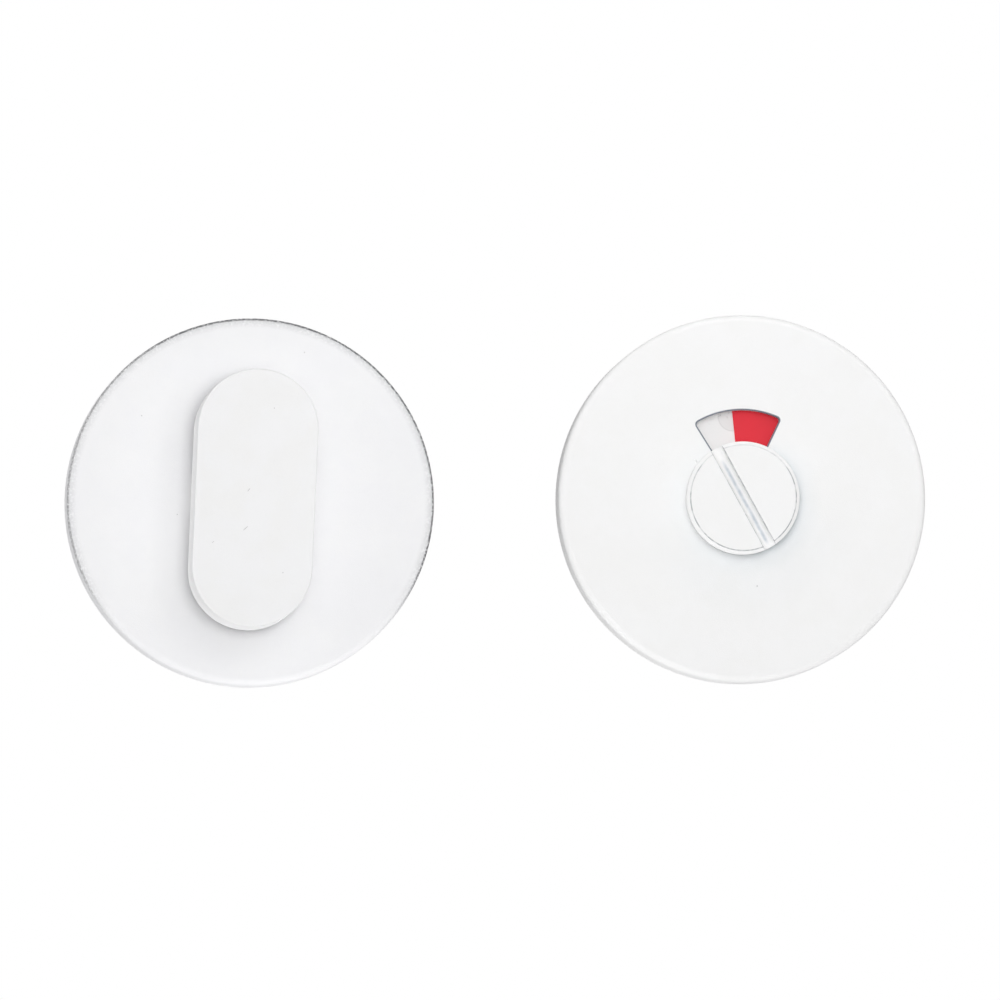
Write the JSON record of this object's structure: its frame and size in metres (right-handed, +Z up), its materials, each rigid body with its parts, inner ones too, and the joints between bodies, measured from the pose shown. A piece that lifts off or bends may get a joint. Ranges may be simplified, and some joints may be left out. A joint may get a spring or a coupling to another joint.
{
  "type": "bathroom thumb turn lock",
  "caption": "Bathroom privacy lock: a thumb turn on a round rose, and a matching rose with a slotted coin release and a red and white indicator window.",
  "frame": {"origin": "where the thumb turn's axis meets the door face, at the middle of its base plate's back", "axes": "+X to the right as the roses are seen, towards the release half; +Y into the door, away from the viewer; +Z up"},
  "size_m": [0.1216, 0.0666, 0.052],
  "materials": {
    "white_lacquer": "matt",
    "zinc_plated_steel": "bright zinc plate",
    "spring_steel": "black phosphate",
    "grey_nylon": "moulded",
    "natural_nylon": "moulded",
    "indicator_white": "moulded",
    "indicator_red": "satin"
  },
  "bodies": {
    "roses": {"turn_rose_cover": "white_lacquer", "turn_bush": "natural_nylon", "turn_base_plate": "grey_nylon", "turn_fixing_screws": "zinc_plated_steel", "turn_screw_washers": "zinc_plated_steel", "release_rose_cover": "white_lacquer", "release_slip_washer": "natural_nylon", "release_base_plate": "grey_nylon", "release_sleeve_nuts": "zinc_plated_steel"},
    "turn": {"turn_knob": "white_lacquer", "turn_stop_washer": "zinc_plated_steel", "turn_spring_washer": "spring_steel", "turn_circlip": "spring_steel", "turn_spindle": "zinc_plated_steel", "turn_spindle_pin": "spring_steel"},
    "release": {"release_button": "white_lacquer", "indicator_disc": "indicator_white", "indicator_red_segment": "indicator_red", "release_spring_washer": "spring_steel", "release_circlip": "spring_steel"}
  },
  "joints": [
    {"name": "thumb_turn", "type": "hinge", "parent": "roses", "child": "turn", "pos_m": [0, 0, 0], "axis": [0, 1, 0], "range_deg": [-7, 91]},
    {"name": "coin_release", "type": "hinge", "parent": "roses", "child": "release", "pos_m": [0.0696, 0, 0], "axis": [0, -1, 0], "range_deg": [-32.2, 65.8]}
  ]
}
